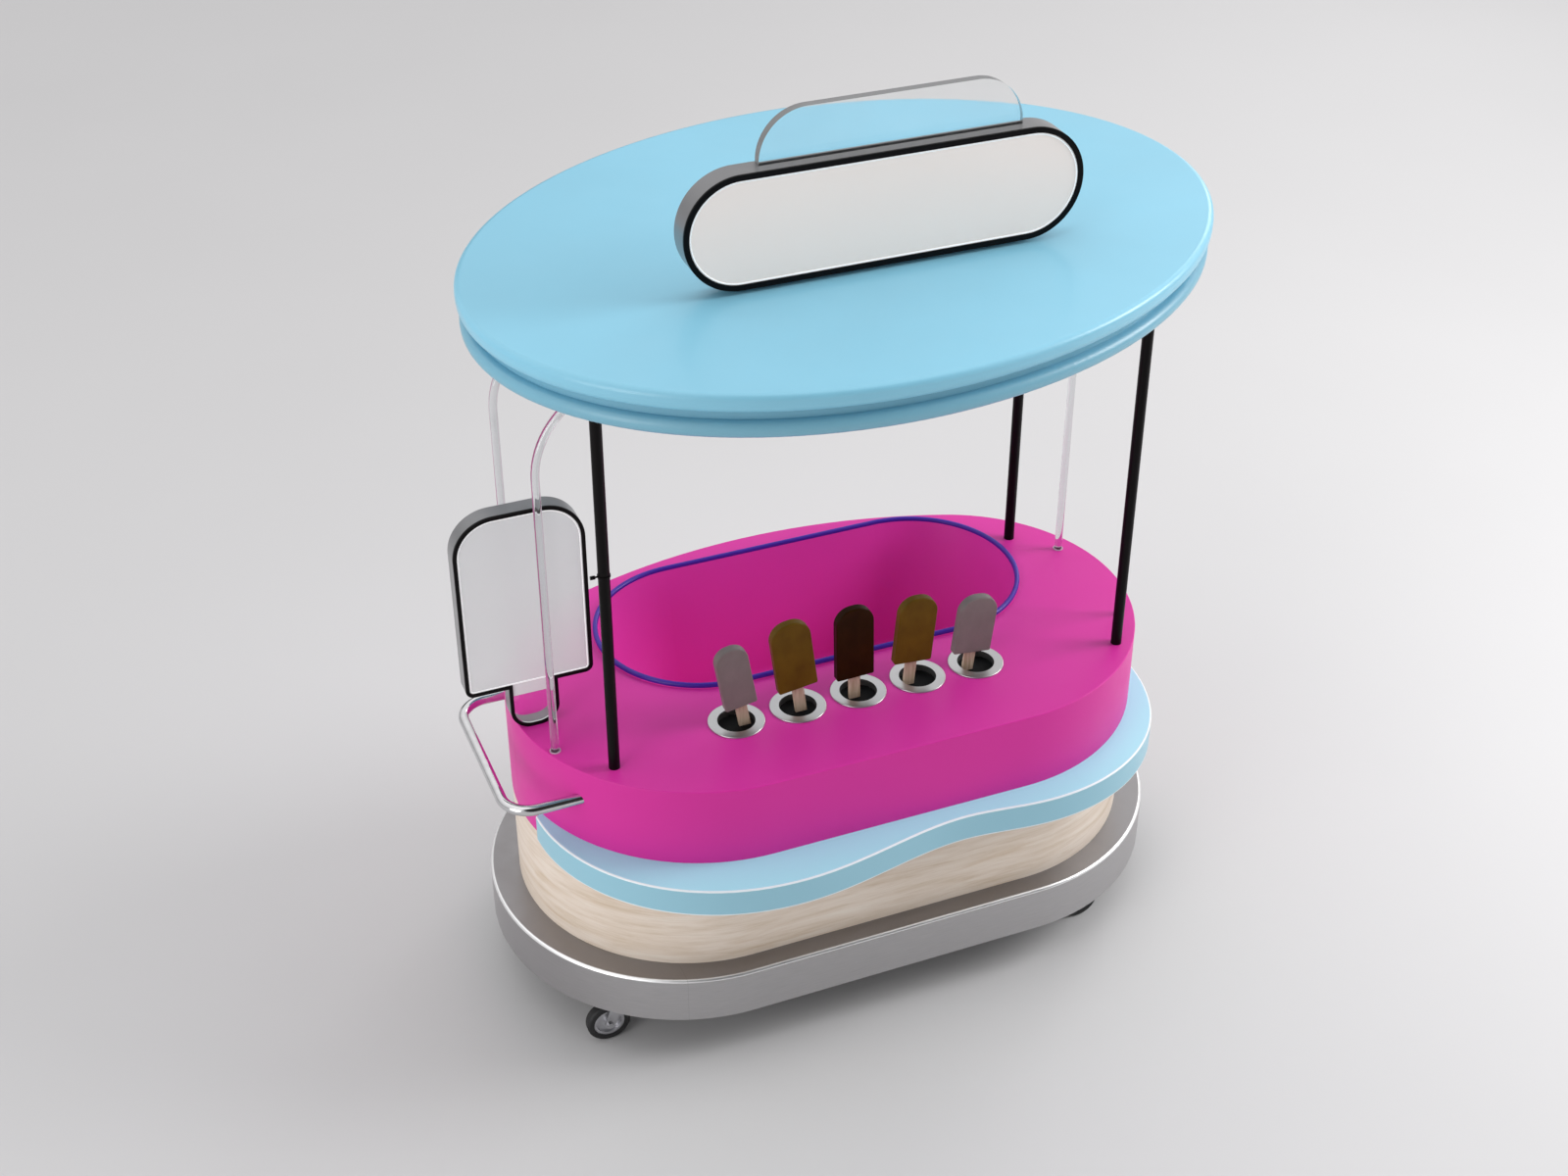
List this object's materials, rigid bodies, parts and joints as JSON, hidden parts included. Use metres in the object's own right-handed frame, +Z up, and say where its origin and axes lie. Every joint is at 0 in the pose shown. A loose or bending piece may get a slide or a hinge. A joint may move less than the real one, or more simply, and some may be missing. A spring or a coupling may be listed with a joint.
{
  "type": "ice pop cart",
  "caption": "Ice pop cart on swivel casters: steel base, wooden cabinet, wavy blue slab, pink counter with ice well and ring cups of ice pops, oval roof with sign, menu board and push handle.",
  "frame": {"origin": "on the floor below the centre of the base", "axes": "+X along the cart, away from the push handle; +Y from the customers' side with the ring cups to the side with the ice well; +Z up"},
  "size_m": [2.0994, 1.5923, 2.608],
  "materials": {
    "steel_brushed": "brushed stainless steel",
    "steel_satin": "satin stainless steel",
    "zinc": "zinc-plated steel",
    "frame_grey": "grey painted steel tube",
    "wood_pale": "pale plywood with a horizontal grain, clear satin lacquer",
    "stick_wood": "plain birch",
    "blue_gloss": "light blue, glossy",
    "pink_gloss": "strong pink, semi-gloss",
    "violet_gloss": "violet, glossy",
    "jacket_white": "white, matte",
    "insert_black": "black, matte",
    "black_gloss": "black gloss paint",
    "gunmetal": "dark gunmetal, semi-gloss",
    "face_white": "white acrylic, glossy",
    "clear_acrylic": "clear acrylic, polished",
    "chrome": "polished chrome",
    "wheel_grey": "grey nylon",
    "tyre_black": "black rubber tread",
    "pop_grey": "warm grey, satin",
    "pop_gold": "gold-brown, glossy",
    "pop_chocolate": "dark chocolate, glossy"
  },
  "bodies": {
    "cart": {"base_shell": "steel_brushed", "base_frame": "frame_grey", "caster_plates": "zinc", "cabinet_wall": "wood_pale", "wave_slab": "blue_gloss", "counter_shell": "pink_gloss", "well_liner": "pink_gloss", "well_jacket": "jacket_white", "well_bead": "violet_gloss", "ring_cup_1": "steel_satin", "ring_cup_2": "steel_satin", "ring_cup_3": "steel_satin", "ring_cup_4": "steel_satin", "ring_cup_5": "steel_satin", "cup_inserts": "insert_black", "post_front_left": "black_gloss", "post_front_right": "black_gloss", "post_back_right": "black_gloss", "post_clamp": "black_gloss", "arch_front": "clear_acrylic", "arch_back": "clear_acrylic", "arch_ferrules": "clear_acrylic", "roof_upper": "blue_gloss", "roof_core": "blue_gloss", "roof_lower": "blue_gloss", "sign_band": "gunmetal", "sign_rim": "black_gloss", "sign_face": "face_white", "sign_crest": "clear_acrylic", "board_band": "gunmetal", "board_rim": "black_gloss", "board_face": "face_white", "board_window": "clear_acrylic", "push_handle": "chrome"},
    "fork_front_left": {"caster_front_left_fork": "zinc", "caster_front_left_axle": "zinc"},
    "wheel_front_left": {"caster_front_left_wheel": "wheel_grey", "caster_front_left_tyre": "tyre_black"},
    "fork_front_right": {"caster_front_right_fork": "zinc", "caster_front_right_axle": "zinc"},
    "wheel_front_right": {"caster_front_right_wheel": "wheel_grey", "caster_front_right_tyre": "tyre_black"},
    "fork_back_left": {"caster_back_left_fork": "zinc", "caster_back_left_axle": "zinc"},
    "wheel_back_left": {"caster_back_left_wheel": "wheel_grey", "caster_back_left_tyre": "tyre_black"},
    "fork_back_right": {"caster_back_right_fork": "zinc", "caster_back_right_axle": "zinc"},
    "wheel_back_right": {"caster_back_right_wheel": "wheel_grey", "caster_back_right_tyre": "tyre_black"},
    "pop_1": {"pop_1_bar": "pop_grey", "pop_1_stick": "stick_wood"},
    "pop_2": {"pop_2_bar": "pop_gold", "pop_2_stick": "stick_wood"},
    "pop_3": {"pop_3_bar": "pop_chocolate", "pop_3_stick": "stick_wood"},
    "pop_4": {"pop_4_bar": "pop_gold", "pop_4_stick": "stick_wood"},
    "pop_5": {"pop_5_bar": "pop_grey", "pop_5_stick": "stick_wood"}
  },
  "joints": [
    {"name": "swivel_front_left", "type": "hinge", "parent": "cart", "child": "fork_front_left", "pos_m": [-0.768, -0.362, 0.15], "axis": [0, 0, 1], "continuous": true},
    {"name": "roll_front_left", "type": "hinge", "parent": "fork_front_left", "child": "wheel_front_left", "pos_m": [-0.803, -0.362, 0.0625], "axis": [0, 1, 0], "continuous": true},
    {"name": "swivel_front_right", "type": "hinge", "parent": "cart", "child": "fork_front_right", "pos_m": [0.69, -0.408, 0.15], "axis": [0, 0, 1], "continuous": true},
    {"name": "roll_front_right", "type": "hinge", "parent": "fork_front_right", "child": "wheel_front_right", "pos_m": [0.655, -0.408, 0.0625], "axis": [0, 1, 0], "continuous": true},
    {"name": "swivel_back_left", "type": "hinge", "parent": "cart", "child": "fork_back_left", "pos_m": [-0.69, 0.408, 0.15], "axis": [0, 0, 1], "continuous": true},
    {"name": "roll_back_left", "type": "hinge", "parent": "fork_back_left", "child": "wheel_back_left", "pos_m": [-0.725, 0.408, 0.0625], "axis": [0, 1, 0], "continuous": true},
    {"name": "swivel_back_right", "type": "hinge", "parent": "cart", "child": "fork_back_right", "pos_m": [0.768, 0.362, 0.15], "axis": [0, 0, 1], "continuous": true},
    {"name": "roll_back_right", "type": "hinge", "parent": "fork_back_right", "child": "wheel_back_right", "pos_m": [0.733, 0.362, 0.0625], "axis": [0, 1, 0], "continuous": true},
    {"name": "lift_pop_1", "type": "slide", "parent": "cart", "child": "pop_1", "axis": [-0.165, 0, 0.9863], "range_m": [0, 0.25]},
    {"name": "lift_pop_2", "type": "slide", "parent": "cart", "child": "pop_2", "axis": [-0.1323, 0, 0.9912], "range_m": [0, 0.25]},
    {"name": "lift_pop_3", "type": "slide", "parent": "cart", "child": "pop_3", "axis": [-0.0244, 0, 0.9997], "range_m": [0, 0.25]},
    {"name": "lift_pop_4", "type": "slide", "parent": "cart", "child": "pop_4", "axis": [0.0819, 0, 0.9966], "range_m": [0, 0.25]},
    {"name": "lift_pop_5", "type": "slide", "parent": "cart", "child": "pop_5", "axis": [0.1132, 0, 0.9936], "range_m": [0, 0.25]}
  ]
}
